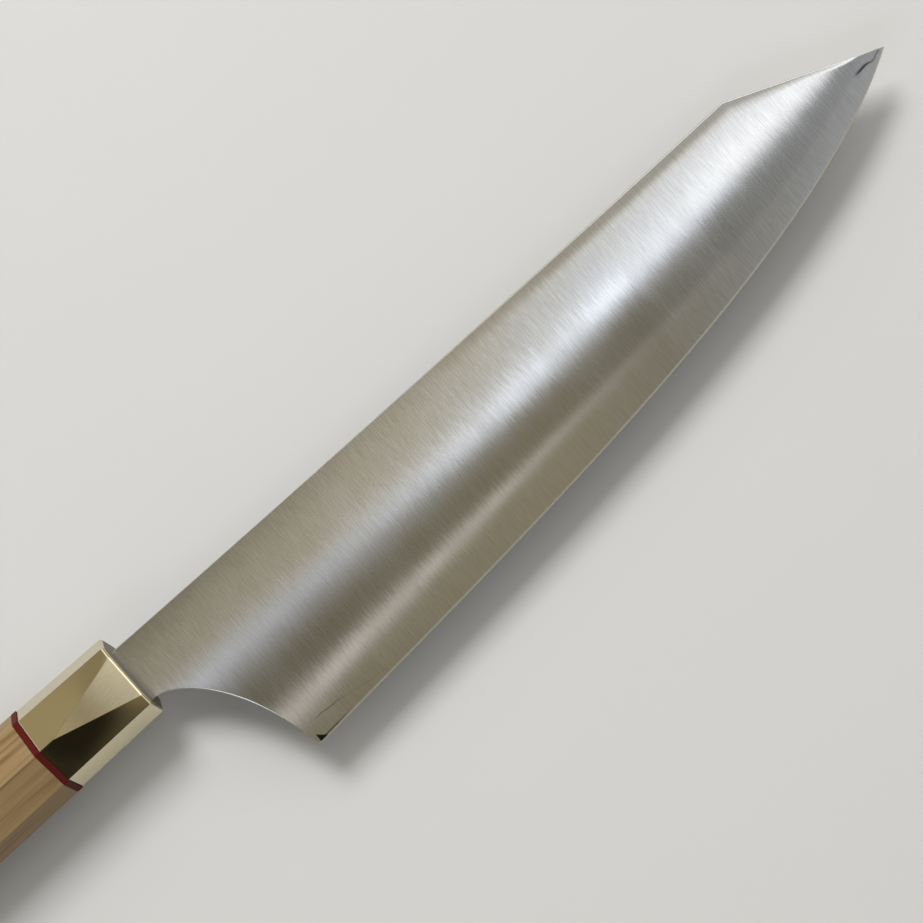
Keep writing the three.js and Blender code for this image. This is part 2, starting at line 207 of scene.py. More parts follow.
def lofted(name, rings, ends="capped"):
    """A skin over rings of points, each closed on itself and joined to the next. The ends are capped, joined
    to each other or left open, as where they shrink to a point, and coinciding points become one. The map's
    U is X, and its V is Y plus Z, so that the grain lies along the knife on every side of a piece."""
    rings = np.concatenate([rings, rings[:1]]) if ends == "joined" else rings
    count, around, _ = rings.shape
    i, j = np.meshgrid(np.arange(count - 1), np.arange(around), indexing="ij")
    after = (j + 1) % around
    near_ring = i * around
    far_ring = near_ring + around
    quads = np.stack([near_ring + j, near_ring + after, far_ring + after, far_ring + j], axis=-1)
    faces = quads.reshape(-1, 4).tolist()
    if ends == "capped":
        faces.append(list(range(around)))
        faces.append(list(range((count - 1) * around, count * around)))
    points = rings.reshape(-1, 3)
    chart = np.stack([points[:, 0], points[:, 1] + points[:, 2]], axis=1)
    corners = chart[np.concatenate([np.asarray(face) for face in faces])]
    mesh = bpy.data.meshes.new(name)
    mesh.from_pydata(points.tolist(), [], faces)
    mesh.uv_layers.new(name="grain").uv.foreach_set("vector", corners.astype(np.float32).ravel())
    welded = bmesh.new()
    welded.from_mesh(mesh)
    bmesh.ops.remove_doubles(welded, verts=welded.verts, dist=WELD_REACH * MM)
    bmesh.ops.recalc_face_normals(welded, faces=welded.faces)
    welded.to_mesh(mesh)
    welded.free()
    mesh.shade_smooth()
    mesh.set_sharp_from_angle(angle=SHARP_ANGLE)
    piece = bpy.data.objects.new(name, mesh)
    bpy.context.scene.collection.objects.link(piece)
    return piece


def add_node(tree, kind, sockets=None, **options):
    """A node of that kind: options are its settings, and sockets get a value or an output to link."""
    made = tree.nodes.new(kind)
    for name, value in options.items():
        setattr(made, name, value)
    for name, value in (sockets or {}).items():
        if isinstance(value, bpy.types.NodeSocket):
            tree.links.new(value, made.inputs[name])
        else:
            made.inputs[name].default_value = value
    return made


def new_finish(name):
    """A node material with its shader: returns the material, its tree and the shader."""
    material = bpy.data.materials.new(name)
    material.use_nodes = True
    return material, material.node_tree, material.node_tree.nodes["Principled BSDF"]


def stretched_noise(tree, sizes, detail=4.0, roughness=0.6):
    """Noise in object space whose patches have these sizes in millimetres along X, Y and Z."""
    place = add_node(tree, "ShaderNodeTexCoord").outputs["Object"]
    scale = [1 / (size * MM) for size in sizes]
    spread = add_node(tree, "ShaderNodeMapping", {"Vector": place, "Scale": scale})
    return add_node(
        tree,
        "ShaderNodeTexNoise",
        {"Vector": spread.outputs["Vector"], "Scale": 1.0, "Detail": detail, "Roughness": roughness},
    )


def sum_of(first, second):
    """First plus second."""
    tree = first.id_data
    return add_node(tree, "ShaderNodeMath", {0: first, 1: second}, operation="ADD").outputs["Value"]


def product(first, second):
    """First times second."""
    tree = first.id_data
    return add_node(tree, "ShaderNodeMath", {0: first, 1: second}, operation="MULTIPLY").outputs["Value"]


def tinted(colour, level):
    """A colour, or an output that gives one, times the level."""
    scaled = add_node(level.id_data, "ShaderNodeVectorMath", {0: colour, "Scale": level}, operation="SCALE")
    return scaled.outputs["Vector"]


def rising(value, start, end, low=0.0, high=1.0, way="LINEAR"):
    """Goes evenly from low to high while the value goes from start to end, and is level outside."""
    limits = {"Value": value, "From Min": start, "From Max": end, "To Min": low, "To Max": high}
    made = add_node(value.id_data, "ShaderNodeMapRange", limits, interpolation_type=way)
    return made.outputs["Result"]


def swelling(value, start, end, low=0.0, high=1.0):
    """Goes from low to high as rising does, but by a smooth step, which is soft at both ends."""
    return rising(value, start, end, low, high, way="SMOOTHSTEP")


def bell(value, middle, spread):
    """One at the middle, falling off on both sides as a Gauss curve of that spread."""
    off = product(sum_of(value, -middle), 1 / spread)
    power = product(product(off, off), -1.0)
    return add_node(value.id_data, "ShaderNodeMath", {0: power}, operation="EXPONENT").outputs["Value"]


def chart_blade(piece):
    """Gives each point of a blade piece, in millimetres, its way along the edge from the heel, its lift
    above the edge and its height above the handle's axis."""
    points = np.empty(len(piece.data.vertices) * 3, np.float32)
    piece.data.vertices.foreach_get("co", points)
    x, y, _ = ((points.reshape(-1, 3) - knife_origin) / MM).T
    chart = np.stack([x - heel[0], y - edge_line(x), y], axis=1)
    layer = piece.data.attributes.new("on_blade", "FLOAT_VECTOR", "POINT")
    layer.data.foreach_set("vector", chart.astype(np.float32).ravel())


def seams_and_painted_reflections(tree):
    """How dark the seam of core and cladding shows, and where dark reflections are painted: a wavering seam
    line that comes down to the edge in front of the heel, a dipped one through the point with a painted dark
    reflection along its spine side, and a painted dark reflection in the heel's corner that thins out along
    the bevel."""
    chart = add_node(tree, "ShaderNodeAttribute", attribute_name="on_blade").outputs["Vector"]
    places = add_node(tree, "ShaderNodeSeparateXYZ", {"Vector": chart}).outputs
    along, lift, height = places["X"], places["Y"], places["Z"]
    wavy = stretched_noise(tree, SEAM_WAVER_SIZES, detail=1.0).outputs["Fac"]
    waver = product(sum_of(wavy, -0.5), SEAM_WAVER)

    heel_line = sum_of(product(bell(along, middle=0.0, spread=SEAM_RUN), SEAM_RISE), SEAM_LOW)
    off_heel_line = sum_of(sum_of(lift, waver), product(heel_line, -1.0))
    heel_thin = swelling(along, start=8.0, end=13.0, low=0.5, high=0.2)
    heel_fade = product(heel_thin, swelling(along, start=18.0, end=30.0, low=1.0, high=0.0))
    heel_show = product(swelling(along, start=1.5, end=4.5), heel_fade)
    heel_seam = product(bell(off_heel_line, middle=0.0, spread=SEAM_WIDTH), heel_show)

    # Painted dark reflection: a dark corner at the heel and a thin dark line along the bevel above the edge,
    # standing in for dark surroundings mirrored there
    off_heel = swelling(along, start=0.5, end=0.8)
    in_corner = swelling(sum_of(along, lift), start=2.8, end=3.4, low=0.9, high=0.0)
    corner = product(in_corner, swelling(lift, start=0.2, end=0.4))
    bevel_fade = swelling(along, start=5.0, end=14.0, low=0.8, high=0.0)
    by_bevel = product(bell(lift, middle=DARK_REFLECTION_LIFT, spread=DARK_REFLECTION_WIDTH), bevel_fade)
    heel_dark_reflection = product(sum_of(corner, by_bevel), off_heel)

    past = sum_of(along, -POINT_SEAM_ALONG)
    straight = sum_of(product(past, POINT_SEAM_SLOPE), POINT_SEAM_HEIGHT)
    dip = product(bell(past, middle=POINT_SEAM_DIP_PAST, spread=POINT_SEAM_DIP_RUN), -POINT_SEAM_DIP)
    point_line = sum_of(straight, dip)
    off_point_line = sum_of(sum_of(height, product(waver, POINT_SEAM_WAVER)), product(point_line, -1.0))
    line_rise = swelling(past, start=-2.4, end=0.4, high=0.75)
    line_show = product(line_rise, swelling(past, start=2.5, end=4.5, low=1.0, high=0.65))
    line = product(bell(off_point_line, middle=0.0, spread=POINT_SEAM_WIDTH), line_show)
    side_rise = swelling(past, start=-2.0, end=-1.2)
    side_show = product(side_rise, swelling(past, start=0.0, end=1.6, low=0.3, high=0.0))
    side_line = product(bell(off_point_line, middle=-SIDE_LINE_DROP, spread=SIDE_LINE_WIDTH), side_show)
    # Painted dark reflection: a dark band on the spine side of the point's seam line, fading away from it
    dark_reflection_rise = swelling(off_point_line, start=0.0, end=0.2)
    point_dark_reflection = product(dark_reflection_rise, swelling(off_point_line, start=0.2, end=1.3, low=0.4, high=0.0))
    deep_rise = swelling(past, start=-2.6, end=-0.6)
    deep_show = product(deep_rise, swelling(past, start=1.5, end=3.5, low=1.0, high=0.45))
    point_marks = sum_of(line, sum_of(product(point_dark_reflection, deep_show), side_line))
    point_seam = product(point_marks, swelling(past, start=6.6, end=7.8, low=1.0, high=0.0))
    return sum_of(sum_of(heel_seam, heel_dark_reflection), point_seam)


def ground_steel(name, roughness, anisotropy, tilt):
    """Steel ground from spine to edge: scratches across the blade vary its tone, tip the normal a little
    along and across the blade and spread reflections along its length, and wide streaks vary its gloss."""
    material, tree, shader = new_finish(name)
    scratches = stretched_noise(tree, SCRATCH_SIZES, detail=3.0, roughness=0.7)
    level = rising(scratches.outputs["Fac"], start=0.35, end=0.65, low=SCRATCH_DARK, high=SCRATCH_LIGHT)
    # The seam lines darken the colour, and so do the painted dark reflections at the heel and the point
    off_seams_and_reflections = swelling(seams_and_painted_reflections(tree), start=0.0, end=1.0, low=1.0, high=SEAM_AND_REFLECTION_TONE)
    tree.links.new(tinted(STEEL_COLOUR, product(level, off_seams_and_reflections)), shader.inputs["Base Color"])
    streaks = stretched_noise(tree, STREAK_SIZES, detail=2.0).outputs["Fac"]
    gloss = swelling(streaks, start=0.3, end=0.7, low=0.9 * roughness, high=1.15 * roughness)
    tree.links.new(gloss, shader.inputs["Roughness"])
    centred = add_node(
        tree,
        "ShaderNodeVectorMath",
        {0: scratches.outputs["Color"], 1: (0.5, 0.5, 0.5)},
        operation="SUBTRACT",
    )
    face_normal = add_node(tree, "ShaderNodeNewGeometry").outputs["Normal"]
    tipped = add_node(
        tree,
        "ShaderNodeVectorMath",
        {0: centred.outputs["Vector"], 1: (*tilt, 0.0), 2: face_normal},
        operation="MULTIPLY_ADD",
    )
    normal = add_node(tree, "ShaderNodeVectorMath", {0: tipped.outputs["Vector"]}, operation="NORMALIZE")
    tree.links.new(normal.outputs["Vector"], shader.inputs["Normal"])
    lengthwise = add_node(tree, "ShaderNodeTangent", direction_type="UV_MAP", uv_map="grain")
    tree.links.new(lengthwise.outputs["Tangent"], shader.inputs["Tangent"])
    shader.inputs["Metallic"].default_value = 1.0
    shader.inputs["Anisotropic"].default_value = anisotropy
    return material


shoulder_round = shoulder + SHOULDER_RADIUS * np.sin(np.linspace(0, np.pi / 2, SHOULDER_POINTS))
blade_stations = np.unique(
    np.concatenate([[-TANG_LENGTH, point_start], shoulder_round, choil_curve[:, 0], edge_curve[:, 0]])
)[:, None]

bare_rows = np.linspace(ROW_MARGIN, 1 - ROW_MARGIN, BAND_ROWS)
bare_shares = np.concatenate([[0.0, CLOSE_ROW], bare_rows, [1.0]])
bare_lift = bare_core(blade_stations) + (BEVEL_HEIGHT - bare_core(blade_stations)) * bare_shares
bevel_shares = np.array([[1 - ROW_MARGIN, 0.5, ROW_MARGIN, 0.0]])
bevel_lift = np.broadcast_to(BEVEL_HEIGHT * bevel_shares, (len(blade_stations), bevel_shares.size))
core_lift = np.concatenate([bare_lift, bevel_lift], axis=1)
core_heights = np.concatenate([blade_top(blade_stations), edge_line(blade_stations) + core_lift], axis=1)
core_heights = np.clip(core_heights, blade_bottom(blade_stations), blade_top(blade_stations))
core_faces = np.minimum(CORE_HALF, half_thickness(blade_stations, core_heights))
core_rings = np.concatenate(
    [
        in_row_frame(blade_stations, core_heights, core_faces),
        in_row_frame(blade_stations, core_heights[:, ::-1], -core_faces[:, ::-1]),
    ],
    axis=1,
)
core_steel = lofted("core_steel_ground", core_rings)
chart_blade(core_steel)
core_steel.data.materials.append(
    ground_steel("hazy core steel", roughness=0.1, anisotropy=0.96, tilt=(0.025, 0.007))
)
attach(core_steel, "root")
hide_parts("core_steel")

# Cladding, right and left
# The two softer stainless plates forged on to the core. Each is ground thinner towards the edge until it
# runs out on the core's face, and satin finished from spine to edge. Its corners are eased along spine and
# choil, and in the half by the point its face rolls over a little to the spine.
SPINE_EASE = 0.4
SPINE_ROLL = 4.0
POINT_ROLL = 1.5
ROLL_START = 90.0
ROLL_FULL = 160.0
ROLL_DROP = 0.014
ROLL_LIMIT = 0.3
CHOIL_EASE = 0.45
NECK_EASE_SHARE = 0.3
EASE_POINTS = 7
FACE_ROWS = 60

core_top_lift = blade_top(blade_stations) - edge_line(blade_stations) - bare_core(blade_stations)
clad_stations = blade_stations[core_top_lift >= 0][:, None]
plate_top = blade_top(clad_stations)
plate_end = np.maximum(edge_line(clad_stations) + bare_core(clad_stations), blade_bottom(clad_stations))
plate_height = plate_top - plate_end
top_ease = np.minimum(SPINE_EASE, np.maximum(half_thickness(clad_stations, plate_top) - CORE_HALF, 0))
top_ease = np.minimum(top_ease, plate_height / 4)
down_choil = np.clip(clad_stations / NECK_LENGTH, 0, 1)
choil_ease = CHOIL_EASE * (NECK_EASE_SHARE + (1 - NECK_EASE_SHARE) * down_choil)
end_ease = np.minimum(choil_ease, np.maximum(half_thickness(clad_stations, plate_end) - CORE_HALF, 0))
choil_slope = np.gradient(blade_bottom(clad_stations[:, 0]), clad_stations[:, 0])[:, None]
end_ease_height = np.minimum(end_ease * np.sqrt(1 + choil_slope**2), plate_height / 4)
turn = np.linspace(0, np.pi / 2, EASE_POINTS)[None, :]
face_rows = np.linspace(ROW_MARGIN, 1 - ROW_MARGIN, FACE_ROWS)
face_shares = np.concatenate([[0.0, CLOSE_ROW], face_rows, [1 - CLOSE_ROW, 1.0]])[None, :]

face_low = plate_end + end_ease_height
face_high = plate_top - top_ease
face_heights = face_low + (face_high - face_low) * face_shares
down_point = np.clip(2 * (clad_stations - point_start) / POINT_LENGTH, 0, 1)
roll_width = SPINE_ROLL + (POINT_ROLL - SPINE_ROLL) * down_point
spare_half = np.maximum(half_thickness(clad_stations, plate_top) - CORE_HALF, 0)
rolled = np.clip((clad_stations - ROLL_START) / (ROLL_FULL - ROLL_START), 0, 1)
roll_drop = np.minimum(rolled * ROLL_DROP * roll_width, ROLL_LIMIT * spare_half)
spine_roll = np.clip(1 - (plate_top - face_heights) / roll_width, 0, 1) ** 2 * roll_drop
faces_out = np.maximum(CORE_HALF, half_thickness(clad_stations, face_heights) - spine_roll)
end_heights = face_low - end_ease_height * np.cos(turn)
end_out = np.maximum(CORE_HALF, faces_out[:, :1] - end_ease + end_ease * np.sin(turn))
top_heights = face_high + top_ease * np.sin(turn)
top_out = np.maximum(CORE_HALF, faces_out[:, -1:] - top_ease + top_ease * np.cos(turn))
plate_heights = np.concatenate([plate_end, end_heights, face_heights, top_heights, plate_top], axis=1)
core_side = np.full_like(plate_end, CORE_HALF)
plate_out = np.concatenate([core_side, end_out, faces_out, top_out, core_side], axis=1)

satin_steel = ground_steel("satin cladding", roughness=0.095, anisotropy=1.0, tilt=(0.03, 0.008))
for side, facing in (("right", 1), ("left", -1)):
    cladding = lofted(
        f"cladding_{side}_satin", in_row_frame(clad_stations, plate_heights, facing * plate_out)
    )
    chart_blade(cladding)
    cladding.data.materials.append(satin_steel)
    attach(cladding, "root")
    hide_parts(f"cladding_{side}")

# Dowel and epoxy
# A drilled hardwood dowel lines up bolster, spacer and handle, and a cast of epoxy in it grips the tang.
# Both are hidden in the finished knife and keep their CAD shape.
DOWEL_PALE = (0.60, 0.46, 0.27, 1.0)
DOWEL_DARK = (0.42, 0.29, 0.15, 1.0)
DOWEL_GRAIN_SIZES = [30.0, 0.5, 0.5]
EPOXY_CLEAR = (0.56, 0.48, 0.30, 1.0)
EPOXY_CLOUDY = (0.63, 0.56, 0.40, 1.0)
EPOXY_CLOUD_SIZES = [3.0, 3.0, 3.0]


def blended_finish(name, noise_sizes, dark, light, roughness, specular=0.5):
    """Two tones of one stuff, mixed by a noise of those sizes, with an even gloss."""
    material, tree, shader = new_finish(name)
    patches = stretched_noise(tree, noise_sizes)
    tone = add_node(
        tree, "ShaderNodeMix", {"Factor": patches.outputs["Fac"], "A": dark, "B": light}, data_type="RGBA"
    )
    tree.links.new(tone.outputs["Result"], shader.inputs["Base Color"])
    shader.inputs["Roughness"].default_value = roughness
    shader.inputs["Specular IOR Level"].default_value = specular
    return material


hidden_finishes = {
    "dowel": blended_finish("dowel hardwood", DOWEL_GRAIN_SIZES, DOWEL_DARK, DOWEL_PALE, roughness=0.6),
    "tang_epoxy": blended_finish("cast epoxy", EPOXY_CLOUD_SIZES, EPOXY_CLEAR, EPOXY_CLOUDY, roughness=0.3),
}
for hidden, finish in hidden_finishes.items():
    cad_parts[hidden].material_slots[0].material = finish

# Bolster
# Octagonal collar of nickel silver with a long triangular flat ground on each side, polished. It is slotted
# in front for the blade's neck, bored from behind for the dowel, and glued.
TOP_FACET_ANGLE = np.radians(40)
BOLSTER_FRONT_RADIUS = 11.35
BOLSTER_BACK_RADIUS = 11.85
BOLSTER_LENGTH = 26.5
FLAT_WIDTH = 12.0
FLAT_STOP = 4.1
FLAT_CROWN = 0.19
FLAT_DISH = 0.02
FLAT_LEAN = np.radians(1.0)
FRONT_ROUND = 0.75
BACK_ROUND = 0.3
ROUND_MARGIN = 0.05
SLOT_CLEARANCE = 0.1
BORE_FRONT = -8.0
BORE_RADIUS = 7.5
FACET_STEPS = 8
RIGHT_FLAT = 2
LEFT_FLAT = 7
ROUND_POINTS = 9
FLAT_POINTS = 15
BOLSTER_EASE = 0.08
ARRIS_ANGLE = np.radians(12)
NICKEL_SILVER = (0.69, 0.61, 0.42)
BUFFING_SIZES = [6.0, 0.6, 0.6]
FRONT_FACE_START = 0.03
FRONT_FACE_FULL = 0.01
MILLED_ROUGHNESS = 0.45
# Painted shade: the share of its colour that the front face keeps
FRONT_PAINTED_SHADE_TONE = 0.3

side_facet_slope = (1 - np.sin(TOP_FACET_ANGLE)) / np.cos(TOP_FACET_ANGLE)


def stepped_ring(x, corners, flat_dish=0.0):
    """A ring at one station: each side of the corner polygon split into equal steps, with the two side
    flats dished by a parabola of that depth."""
    corners = np.asarray(corners, float)
    shares = np.arange(FACET_STEPS) / FACET_STEPS
    steps = (np.roll(corners, -1, axis=0) - corners)[:, None] * shares[None, :, None]
    sides = corners[:, None] + steps
    dish = flat_dish * 4 * shares * (1 - shares)
    sides[RIGHT_FLAT, :, 1] -= dish
    sides[LEFT_FLAT, :, 1] += dish
    outline = sides.reshape(-1, 2)
    return in_row_frame(x, outline[:, 0], outline[:, 1])


def octagon_ring(x, radius, flat_half=0.0, inset=0.0, flat_rise=0.0, flat_dish=0.0):
    """Octagon with an arris up, down and to each side. Each side arris is two corners, which lie apart
    where the side flat cuts it, the right flat leaning a little to the spine. An inset shrinks the ring
    evenly, and the left half is the right half turned round the axis."""
    y = radius * np.cos(TOP_FACET_ANGLE)
    z = radius * np.sin(TOP_FACET_ANGLE)
    flat_z = radius - side_facet_slope * flat_half + flat_rise
    lean = np.tan(FLAT_LEAN) * flat_half
    flat = [[flat_half, flat_z - lean], [-flat_half, flat_z + lean]]
    right = np.array([[radius, 0], [y, z], *flat, [-y, z]])
    return stepped_ring(x, np.concatenate([right, -right]) * (1 - inset / radius), flat_dish)


def round_ring(x, radius):
    """A circle with one point opposite each point of an octagon's ring."""
    spokes = octagon_ring(0.0, 1.0)[:, 1:] - knife_origin[1:]
    spokes = spokes / np.linalg.norm(spokes, axis=1)[:, None]
    return in_row_frame(x, radius * spokes[:, 0], radius * spokes[:, 1])


def bolster_ring(x, inset=0.0):
    """The bolster's octagon, widening evenly to the back, while the flats narrow to nothing before it. Each
    flat is crowned along its length by a parabola and dished across."""
    radius = BOLSTER_FRONT_RADIUS + (BOLSTER_BACK_RADIUS - BOLSTER_FRONT_RADIUS) * -x / BOLSTER_LENGTH
    run = min(-x / (BOLSTER_LENGTH - FLAT_STOP), 1)
    flat_half = FLAT_WIDTH / 2 * (1 - run)
    crown = FLAT_CROWN * 4 * run * (1 - run)
    dish = FLAT_DISH * (1 - run) ** 2
    return octagon_ring(x, radius, flat_half, inset, crown, dish)


def slot_ring(x):
    """The blade's slot: a rectangle with clearance all round, with as many corners as an octagon's ring."""
    top = SPINE_HEIGHT + SLOT_CLEARANCE
    bottom = NECK_HEIGHT - SLOT_CLEARANCE
    wall = SPINE_THICKNESS / 2 + SLOT_CLEARANCE
    upper = bottom + (top - bottom) * 2 / 3
    lower = bottom + (top - bottom) / 3
    right = [[top, 0], [top, wall], [upper, wall], [lower, wall], [bottom, wall]]
    left = [[bottom, 0], [bottom, -wall], [lower, -wall], [upper, -wall], [top, -wall]]
    return stepped_ring(x, right + left)


def ease_arrises(piece, width, segments):
    """Rounds every arris to that width, with the facets between them kept flat."""
    ease = piece.modifiers.new("eased arrises", "BEVEL")
    ease.width = width * MM
    ease.segments = segments
    ease.limit_method = "ANGLE"
    ease.angle_limit = ARRIS_ANGLE
    ease.harden_normals = True
    ease.use_clamp_overlap = False


bolster_back = -BOLSTER_LENGTH
quarter_turn = np.linspace(0, np.pi / 2, ROUND_POINTS)
flat_stations = np.linspace(-FRONT_ROUND - ROUND_MARGIN, FLAT_STOP - BOLSTER_LENGTH, FLAT_POINTS)
rounded_front = [
    bolster_ring(FRONT_ROUND * (np.sin(angle) - 1), FRONT_ROUND * (1 - np.cos(angle)))
    for angle in quarter_turn[::-1]
]
rounded_back = [
    bolster_ring(bolster_back + BACK_ROUND * (1 - np.sin(angle)), BACK_ROUND * (1 - np.cos(angle)))
    for angle in quarter_turn
]
bolster = lofted(
    "bolster_polished",
    np.stack(
        [
            slot_ring(BORE_FRONT),
            slot_ring(0.0),
            *rounded_front,
            *[bolster_ring(station) for station in flat_stations],
            bolster_ring(bolster_back + BACK_ROUND + ROUND_MARGIN),
            *rounded_back,
            round_ring(bolster_back, BORE_RADIUS),
            round_ring(BORE_FRONT, BORE_RADIUS),
        ]
    ),
    ends="joined",
)
ease_arrises(bolster, BOLSTER_EASE, segments=3)
polished, tree, shader = new_finish("polished nickel silver")
buffing = stretched_noise(tree, BUFFING_SIZES, detail=3.0).outputs["Fac"]
place = add_node(tree, "ShaderNodeTexCoord").outputs["Object"]
ahead = add_node(tree, "ShaderNodeSeparateXYZ", {"Vector": place}).outputs["X"]
# The milled front face, where the blade enters, is rougher, and its colour is darkened as painted shade
# between bolster and blade
milled_and_shaded = swelling(ahead, start=bolster_front - FRONT_FACE_START * MM, end=bolster_front - FRONT_FACE_FULL * MM)
polish = swelling(buffing, start=0.3, end=0.7, low=0.05, high=0.065)
tree.links.new(sum_of(polish, product(milled_and_shaded, MILLED_ROUGHNESS)), shader.inputs["Roughness"])
buffed_tone = swelling(buffing, start=0.2, end=0.8, low=0.985, high=1.015)
level = product(buffed_tone, swelling(milled_and_shaded, start=0.0, end=1.0, low=1.0, high=FRONT_PAINTED_SHADE_TONE))
tree.links.new(tinted(NICKEL_SILVER, level), shader.inputs["Base Color"])
shader.inputs["Metallic"].default_value = 1.0
bolster.data.materials.append(polished)
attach(bolster, "root")
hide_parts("bolster")

# Spacer
# A thin octagonal washer of red vulcanised fibre, bored for the dowel. It is glued between bolster and wood
# and sanded flush with the wood.
HANDLE_FRONT_RADIUS = 12.15
SPACER_THICKNESS = 1.5
SPACER_EASE = 0.12
RED_DARK = (0.057, 0.005, 0.004, 1.0)
RED_LIGHT = (0.092, 0.008, 0.006, 1.0)
RED_FLECK_SIZES = [0.2, 0.7, 0.7]

handle_front = bolster_back - SPACER_THICKNESS
spacer = lofted(
    "spacer_fibre",
    np.stack(
        [
            octagon_ring(bolster_back, HANDLE_FRONT_RADIUS),
            octagon_ring(handle_front, HANDLE_FRONT_RADIUS),
            round_ring(handle_front, BORE_RADIUS),
            round_ring(bolster_back, BORE_RADIUS),
        ]
    ),
    ends="joined",
)
ease_arrises(spacer, SPACER_EASE, segments=2)
red_fibre = blended_finish(
    "red vulcanised fibre", RED_FLECK_SIZES, RED_DARK, RED_LIGHT, roughness=0.6, specular=0.15
)
spacer.data.materials.append(red_fibre)
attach(spacer, "root")
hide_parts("spacer")

# Handle
# Octagonal handle of a straight-grained, ring-porous wood, flared a little to the butt, sanded and oiled.
# It is drilled from the front for the dowel and glued up to the spacer.
HANDLE_LENGTH = 106.0
HANDLE_BUTT_RADIUS = 13.2
BUTT_CHAMFER = 1.2
BORE_BACK = -89.3
DRILL_POINT = np.radians(118)
HANDLE_EASE = 0.35
WOOD_PALE = (0.270, 0.184, 0.089, 1.0)
WOOD_BROWN = (0.206, 0.126, 0.056, 1.0)
WOOD_STREAK = (0.140, 0.076, 0.030, 1.0)
GRAIN_TURN = (0.5, 0.0, 0.03)
RING_WIDTH = 2.3
RING_WANDER = 7.0
RING_WANDER_SIZES = [140.0, 5.0, 5.0]
RING_FADE_SIZES = [90.0, 3.0, 3.0]
FIBRE_SIZES = [26.0, 0.28, 0.28]
PORE_STRENGTH = 0.25
PORE_DEPTH = 0.05

butt = handle_front - HANDLE_LENGTH
handle = lofted(
    "handle_wood",
    np.stack(
        [
            round_ring(BORE_BACK - BORE_RADIUS / np.tan(DRILL_POINT / 2), 0.0),
            round_ring(BORE_BACK, BORE_RADIUS),
            round_ring(handle_front, BORE_RADIUS),
            octagon_ring(handle_front, HANDLE_FRONT_RADIUS),
            octagon_ring(butt + BUTT_CHAMFER, HANDLE_BUTT_RADIUS),
            octagon_ring(butt, HANDLE_BUTT_RADIUS, inset=BUTT_CHAMFER),
            round_ring(butt, 0.0),
        ]
    ),
    ends="open",
)
ease_arrises(handle, HANDLE_EASE, segments=3)
oiled_wood, tree, shader = new_finish("oiled wood")
place = add_node(tree, "ShaderNodeTexCoord").outputs["Object"]
slant = add_node(tree, "ShaderNodeMapping", {"Vector": place, "Rotation": GRAIN_TURN}).outputs["Vector"]
layers = add_node(tree, "ShaderNodeSeparateXYZ", {"Vector": slant}).outputs["Y"]
wander = product(stretched_noise(tree, RING_WANDER_SIZES, detail=3.0).outputs["Fac"], RING_WANDER * MM)
years = product(sum_of(wander, layers), 1 / (RING_WIDTH * MM))
year = add_node(tree, "ShaderNodeMath", {0: years}, operation="FRACT").outputs["Value"]
season = add_node(tree, "ShaderNodeValToRGB", {"Fac": year})
season.color_ramp.elements[0].color = WOOD_STREAK
season.color_ramp.elements[1].color = WOOD_PALE
season.color_ramp.elements[1].position = 0.42
for position, colour in ((0.16, WOOD_BROWN), (0.86, WOOD_BROWN), (1.0, WOOD_STREAK)):
    season.color_ramp.elements.new(position).color = colour
ring_fade = stretched_noise(tree, RING_FADE_SIZES, detail=2.0).outputs["Fac"]
ring_show = swelling(ring_fade, start=0.35, end=0.65, low=0.25, high=0.9)
softened = add_node(
    tree,
    "ShaderNodeMix",
    {"Factor": ring_show, "A": WOOD_PALE, "B": season.outputs["Color"]},
    data_type="RGBA",
)
fibres = stretched_noise(tree, FIBRE_SIZES, detail=3.0, roughness=0.7).outputs["Fac"]
fibre_tone = rising(fibres, start=0.3, end=0.7, low=0.8, high=1.1)
tree.links.new(tinted(softened.outputs["Result"], fibre_tone), shader.inputs["Base Color"])
sheen = rising(fibres, start=0.3, end=0.7, low=0.58, high=0.44)
tree.links.new(sheen, shader.inputs["Roughness"])
pores = add_node(
    tree,
    "ShaderNodeBump",
    {"Height": fibres, "Strength": PORE_STRENGTH, "Distance": PORE_DEPTH * MM},
)
tree.links.new(pores.outputs["Normal"], shader.inputs["Normal"])
shader.inputs["Specular IOR Level"].default_value = 0.3
handle.data.materials.append(oiled_wood)
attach(handle, "root")
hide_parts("handle")

# Floor
# A plain pale floor under the knife, turned up at its rim all round as a backdrop. Its radius, rings and rim
# are in metres, and so are the lamp's and the camera's places below.
FLOOR_RADIUS = 2.2
FLOOR_RINGS = [0.0, 0.5, 1.2]
RIM_ROUND = 0.5
RIM_HEIGHT = 1.1
RIM_POINTS = 17
FLOOR_BEARINGS = 96
FLOOR_PALE = (0.55, 0.55, 0.55, 1.0)
FLOOR_SHADE = (0.52, 0.52, 0.52, 1.0)
FLOOR_SHADE_SIZES = [300.0, 300.0, 300.0]

sweep = np.linspace(0, np.pi / 2, RIM_POINTS)
rim_reach = FLOOR_RADIUS + RIM_ROUND * np.sin(sweep)
floor_reach = np.concatenate([FLOOR_RINGS, rim_reach, rim_reach[-1:]])[:, None]
rim_height = RIM_ROUND * (1 - np.cos(sweep))
floor_height = np.concatenate([np.zeros(len(FLOOR_RINGS)), rim_height, [RIM_HEIGHT]])[:, None]
bearing = np.linspace(0, 2 * np.pi, FLOOR_BEARINGS, endpoint=False)
floor_points = np.stack(
    np.broadcast_arrays(floor_reach * np.cos(bearing), floor_reach * np.sin(bearing), floor_height),
    axis=-1,
)
floor = lofted("floor", floor_points, ends="open")
pale_floor = blended_finish("pale floor", FLOOR_SHADE_SIZES, FLOOR_SHADE, FLOOR_PALE, roughness=0.8)
floor.data.materials.append(pale_floor)

